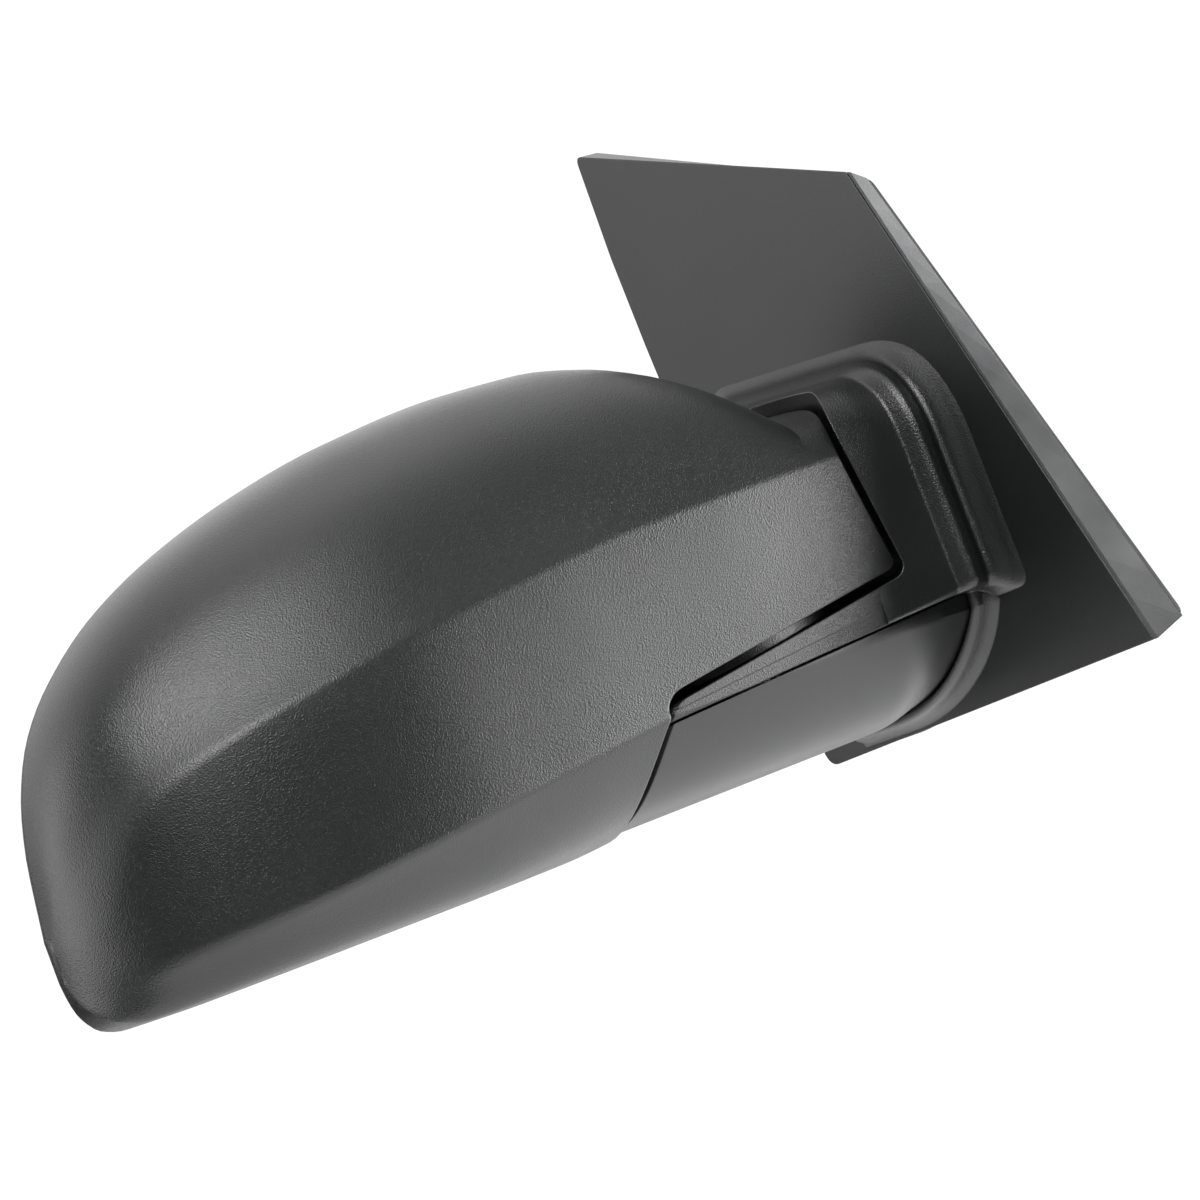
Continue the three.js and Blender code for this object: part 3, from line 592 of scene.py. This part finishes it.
# ---------------------------------------------------------------- front edge seal
# An extruded strip of firm rubber along the sloping front edge of the plate. It is pressed into
# its groove, and a shade lighter than the plastic round it.
tree, shader, edge_rubber = finish("edge_rubber")
tones(tree, noise(tree, 70), (0.030, 0.031, 0.032), (0.048, 0.049, 0.05),
      shader.inputs["Base Color"])
spread(tree, noise(tree, 40), 0.5, 0.62, shader.inputs["Roughness"])
raised(tree, shader, noise(tree, 1200, 3), 0.04, 0.5)
dress(edge_rubber, "edge_seal")

# ---------------------------------------------------------------- fold post, spring and washers
# Turned steel post pressed up through the bracket, the detent washer under the head, the coil
# spring that holds the head down, and the retainer over it. Bright zinc with fine turning marks.
tree, shader, turned_steel = finish("turned_steel")
shader.inputs["Metallic"].default_value = 1.0
tones(tree, noise(tree, 80), (0.40, 0.41, 0.42), (0.58, 0.59, 0.60), shader.inputs["Base Color"])
spread(tree, noise(tree, 120, 3, (1, 1, 12)), 0.22, 0.40, shader.inputs["Roughness"])
raised(tree, shader, noise(tree, 300, 3, (1, 1, 14)), 0.03, 0.3)
dress(turned_steel, "pivot_post", "detent_washer", "fold_spring", "spring_retainer")

# ---------------------------------------------------------------- head frame and actuator
# Glass-filled nylon frame with the sleeve that turns on the post, and the two halves of the
# actuator case screwed to it. Dark grey with pale flow streaks.
tree, shader, filled_nylon = finish("filled_nylon")
tones(tree, noise(tree, 120, 4, (1, 3, 1)), (0.018, 0.018, 0.019), (0.040, 0.040, 0.041),
      shader.inputs["Base Color"])
spread(tree, noise(tree, 50), 0.44, 0.62, shader.inputs["Roughness"])
raised(tree, shader, noise(tree, 700, 4), 0.05, 0.4)
dress(filled_nylon, "head_frame", "actuator_case", "actuator_cover", "gimbal_ring")

# ---------------------------------------------------------------- motors and screws
# Two small can motors of drawn steel, held in the actuator case, and six thread-forming steel
# screws that fix the frame to the shell and close the case.
tree, shader, drawn_steel = finish("drawn_steel")
shader.inputs["Metallic"].default_value = 1.0
tones(tree, noise(tree, 150, 3), (0.34, 0.34, 0.35), (0.50, 0.50, 0.51), shader.inputs["Base Color"])
spread(tree, noise(tree, 90), 0.25, 0.38, shader.inputs["Roughness"])
raised(tree, shader, noise(tree, 500, 3), 0.02, 0.3)
dress(drawn_steel, "yaw_motor", "pitch_motor", "frame_screw_1", "frame_screw_2", "frame_screw_3",
      "case_screw_1", "case_screw_2", "case_screw_3")

# ---------------------------------------------------------------- adjuster screws
# Two white acetal plungers with ball ends, turned and then snapped into the actuator. They push
# and pull the back of the glass.
tree, shader, acetal = finish("acetal")
tones(tree, noise(tree, 100), (0.62, 0.62, 0.59), (0.72, 0.72, 0.69), shader.inputs["Base Color"])
spread(tree, noise(tree, 80), 0.28, 0.38, shader.inputs["Roughness"])
raised(tree, shader, noise(tree, 600, 2), 0.02, 0.3)
dress(acetal, "yaw_plunger", "pitch_plunger")

# ---------------------------------------------------------------- glass carrier, heater and glass
# The glass is bonded into a shallow black carrier with a foil heater between them. First-surface
# chrome on 2 mm glass, ground at the edge, with a trace of dust and wiping haze.
# the head's upper and lower outline, which the glass and its opening follow
dome_z = through((-14, 33), (-42, 33), (-44.5, 35), (-47.5, 40.5), (-50.5, 46.5), (-54, 53),
                 (-58, 59.2), (-63, 65.6), (-71, 73), (-82, 79.8), (-96, 85.4), (-115, 89),
                 (-140, 89.5), (-180, 86), (-214, 79), (-245, 69), (-270, 57), (-290, 42),
                 (-302, 28.5), (-310, 13), (-315, -4), (-319, -30))
bottom_z = through((-14, -60), (-130, -61.5), (-170, -63.5), (-240, -63.2), (-290, -62.8),
                   (-305, -62.2), (-312, -60), (-316.6, -54.5), (-318.3, -49), (-319, -43))
NECK_TOP = 51
GLASS_Z, SILL_Z, SILL_X = 14, -13.4, -150


def top_z(x):
    """Upper outline of the whole head: the dome, then the flat top of the neck."""
    return max(dome_z(x), NECK_TOP) if x > -110 else dome_z(x)


def rim_outline(d, inboard, corner):
    """Rear outline of the head drawn in by d, with the corner over the base arm cut off."""
    sx, sz = 1 - d / 124, 1 - d / 76

    def point(x, z):
        return (-195 + (x + 195) * sx, GLASS_Z + (z - GLASS_Z) * sz, 0)
    upper_x = np.concatenate([np.linspace(-126, -298, 30), np.linspace(-301, -319, 14)])
    upper = [point(x, top_z(x)) for x in upper_x]
    lower_x = np.concatenate([np.linspace(-318.4, -303, 12), [-290, -240]])
    lower = [point(x, bottom_z(x)) for x in lower_x]
    out = 13 - d
    sill = SILL_Z - out
    sill_x = SILL_X + 0.435 * out
    foot = lower[-1][1]
    foot_x = sill_x - 0.931 * (sill - foot)
    return rounded([(foot_x, foot, 9), (sill_x, sill, 9), (inboard, sill, 6),
                    (inboard, upper[0][1], corner), *upper, *lower])


def glass_sheet(name, sections):
    """Sheet lofted front to rear through (y, d, inboard, corner) outlines."""
    return loft(name, [[(x, y, z) for x, z in rim_outline(d, i, c)] for y, d, i, c in sections])


mirror_glass = glass_sheet("mirror_glass_plate", [(25.2, 13.5, -116.5, 9.5), (25.7, 13, -116, 10),
                                                  (26.7, 13, -116, 10), (27.2, 13.5, -116.5, 9.5)])
smooth(mirror_glass, 20)
tree, shader, chrome_glass = finish("chrome_glass")
shader.inputs["Metallic"].default_value = 1.0
tones(tree, noise(tree, 9, 4), (0.72, 0.76, 0.78), (0.80, 0.83, 0.85), shader.inputs["Base Color"])
spread(tree, noise(tree, 26, 5, (1, 1, 3)), 0.015, 0.06, shader.inputs["Roughness"])
raised(tree, shader, noise(tree, 6, 2), 0.02, 0.2)
mirror_glass.data.materials.append(chrome_glass)
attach(mirror_glass, "glass")
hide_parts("mirror_glass")

dress(filled_nylon, "glass_backing")
tree, shader, heater_foil = finish("heater_foil")
tones(tree, noise(tree, 60), (0.50, 0.42, 0.26), (0.62, 0.54, 0.36), shader.inputs["Base Color"])
spread(tree, noise(tree, 30), 0.5, 0.7, shader.inputs["Roughness"])
raised(tree, shader, noise(tree, 400, 2), 0.05, 0.2)
dress(heater_foil, "heater_pad")

# ---------------------------------------------------------------- head shell
# The front of the head: one black moulding about 2.6 mm thick with a pebble grain, a domed top, a
# flat band between two creases and a lower facet. It is screwed to the frame from behind.
TIP_X, END_LENGTH, SHELL_Y = -319, 130, 31
HEAD_CENTRE, HEAD_REACH = (-180, 12.0), (139, 77, 75)
HEAD_R, HEAD_LOW_R, NECK_W = 67.7, 64, 1    # round and along the fold axis
# the crease above the band, the one below it, and how far each is rounded over
crease_z = through((-14, 27), (-46, 25), (-120, 23.7), (-175, 19), (-225, 12.5), (-262, 6),
                   (-290, -2), (-319, -33))
chin_z = through((-14, -28), (-46, -30), (-125, -33), (-175, -38), (-230, -44.5), (-270, -48),
                 (-300, -49), (-319, -41))
crease_radius = through((-14, 1.0), (-120, 1.2), (-200, 1.5), (-255, 1.8), (-285, 3), (-303, 9),
                        (-319, 16))
chin_radius = through((-14, 1.0), (-150, 1.4), (-240, 2), (-290, 3.5), (-319, 8))


def spaced(points, count, skip_start, skip_end):
    """Evenly spaced points along a line, leaving a length out at each end."""
    run = np.concatenate([[0], np.cumsum(np.linalg.norm(np.diff(points, axis=0), axis=1))])
    low, high = min(skip_start, run[-1] * 0.45), max(run[-1] - skip_end, run[-1] * 0.55)
    s = np.linspace(low, high, count)
    return np.stack([np.interp(s, run, points[:, k]) for k in (0, 1)], axis=1)


def turn(a, corner, b, steps=7):
    """Points that round off a corner between a and b, without its two ends."""
    t = np.linspace(0, 1, steps + 2)[1:-1, None]
    return (1 - t)**2 * a + 2 * (1 - t) * t * corner + t * t * b


def head_section(x):
    """Section of the head: down over the dome, the front band and the lower facet."""
    g = math.sqrt(max(0.003, 1 - max(0, (TIP_X + END_LENGTH - x) / END_LENGTH)**2.3))

    def y(v):
        return SHELL_Y - (SHELL_Y - v) * g
    f, zt, zc, zk, zb = front_y(x), dome_z(x), crease_z(x), chin_z(x), bottom_z(x)
    lean = smoothstep(-x, 200, 285)
    rise = zt - zc
    shoulder = (y(f + rise * (0.2 + 0.14 * lean)), zc + rise * (0.5 - 0.06 * lean))
    crease, chin = np.array([y(f), zc]), np.array([y(f + 2), zk])
    dome = bezier((SHELL_Y, zt), (y(-28), zt - 2), shoulder, crease)
    band = bezier(crease, (y(f - 1), zc * 0.67 + zk * 0.33), (y(f), zc * 0.33 + zk * 0.67), chin)
    flat = smoothstep(-x, 145, 205)
    facet = bezier(chin, (y(f + 15 - 2 * flat), (zk + zb) / 2 - 2 + 2 * flat),
                   (y(-18 - 7 * flat), zb), (y(-14 * flat), zb))
    facet = np.vstack([facet, [(SHELL_Y, zb)]])
    r, s = crease_radius(x), chin_radius(x)
    dome, band, facet = spaced(dome, 28, 0, r), spaced(band, 12, r, s), spaced(facet, 22, s, 0)
    ring = np.vstack([dome, turn(dome[-1], crease, band[0]), band,
                      turn(band[-1], chin, facet[0]), facet])
    return np.column_stack([np.full(len(ring), x), ring])


def head_stations(straight, end):
    """Places along the head for its sections, drawn together towards the tip."""
    start = TIP_X + END_LENGTH
    return [*np.linspace(-14, start, straight, endpoint=False),
            *(start - END_LENGTH * np.sin(np.linspace(0, math.pi / 2, end)))]


def clear_for_base(piece, wall):
    """Cuts the head back to its round neck end, and away over the arm of the base."""
    neck_r, low_r, w = HEAD_R - wall, HEAD_LOW_R + wall, NECK_W + wall
    keep = turned("keep", [(0, w), *arc(neck_r - 2.5, w + 2.5, 2.5, -90, 0), (neck_r, 170),
                           (0, 170)])
    beyond = cut(brick("beyond", 0, 220, -120, 120, -90, 160), keep)
    under = turned("under", [(0, -100), (low_r, -100), *arc(low_r - 5, w - 5, 5, 0, 90), (0, w)])
    return cut(piece, beyond, under)


def drawn_head(inset, rear_y, straight, end):
    """The head drawn in by inset on every side and run back to rear_y."""
    centre = np.array([HEAD_CENTRE[0], SHELL_Y, HEAD_CENTRE[1]])
    factor = np.array([1 - inset / reach for reach in HEAD_REACH])
    rings = []
    for x in head_stations(straight, end):
        ring = (head_section(x) - centre) * factor + centre
        top, foot = ring[0].copy(), ring[-1].copy()
        top[1] = foot[1] = rear_y
        rings.append(np.vstack([top, ring, foot]))
    return loft("drawn_head", rings)


def neck_top(d, rear_y):
    """Flat-topped neck between the dome and the base, drawn in by d."""
    rings = []
    for x in np.linspace(-84, -14, 50):
        f, zc = front_y(x) + d, crease_z(x)
        over = bezier((SHELL_Y - 0.5, NECK_TOP - d), (-28, 44.6 - d), (f + 5.5, zc + 18 - d),
                      (f + 0.4, zc - 0.5))
        ring = [(rear_y, NECK_TOP - d), *over, (f + 14, zc - 6), (rear_y, zc - 6)]
        rings.append([(x, y, z) for y, z in ring])
    return loft("neck_top", rings)


head_shell = loft("head_shell_moulding", [head_section(x) for x in head_stations(110, 64)])
join(head_shell, neck_top(0, SHELL_Y))
clear_for_base(head_shell, 0)
cut(head_shell, clear_for_base(drawn_head(WALL, SHELL_Y + 12, 40, 24), WALL))
cut(head_shell, clear_for_base(neck_top(WALL, SHELL_Y + 12), WALL))
dust_ring = turned("dust_ring", [(0, -1.9), (43, -1.9), (43, 2), (0, 2)], 160)
dust_hole = turned("dust_hole", [(0, -6), (41, -6), (41, 6), (0, 6)], 160)
join(head_shell, cut(dust_ring, dust_hole))
smooth(head_shell)
head_shell.data.materials.append(pebble_black)
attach(head_shell, "head")
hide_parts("head_shell")

# ---------------------------------------------------------------- rear bezel
# The rear rim of the head, clipped to the shell: a flat face with rounded edges and a shallow well
# round the glass, in the same grained black.
BEZEL_Y, RIM_Y = SHELL_Y + 0.3, 34.3
RIM_ROUND = 2.1


def rim_ring(y, inset):
    """Outline of the head at depth y, drawn in by inset."""
    centre = np.array(HEAD_CENTRE)
    factor = np.array([1 - inset / HEAD_REACH[0], 1 - inset / HEAD_REACH[2]])
    xs = head_stations(60, 40)
    outline = [(x, top_z(x)) for x in xs] + [(x, bottom_z(x)) for x in reversed(xs)]
    return [(x, y, z) for x, z in (np.array(outline) - centre) * factor + centre]


rim_edge = [(BEZEL_Y, 0), (BEZEL_Y + 0.9, 0),
            *((RIM_Y - RIM_ROUND + RIM_ROUND * math.sin(a), RIM_ROUND * (1 - math.cos(a)))
              for a in np.linspace(0.15, math.pi / 2, 6))]
rear_bezel = clear_for_base(loft("rear_bezel_moulding", [rim_ring(y, d) for y, d in rim_edge]), 0)
well = glass_sheet("well", [(RIM_Y - 8, 6, -108, 16), (BEZEL_Y + 1, 6, -108, 16)])
join(rear_bezel, clear_for_base(well, WALL + 0.3))
RIM_WIDTH = 7.8
opening_flare = [(RIM_Y - 12, RIM_WIDTH), (RIM_Y - 2.2, RIM_WIDTH), (RIM_Y - 1.2, 7.5),
                 (RIM_Y - 0.5, 6.9), (RIM_Y, 5.9), (RIM_Y + 3, 5.9)]
cut(rear_bezel, glass_sheet("opening", [(y, d, -110 + (RIM_WIDTH - d), 14)
                                        for y, d in opening_flare]))
smooth(rear_bezel)
rear_bezel.data.materials.append(pebble_black)
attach(rear_bezel, "head")
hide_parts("rear_bezel")
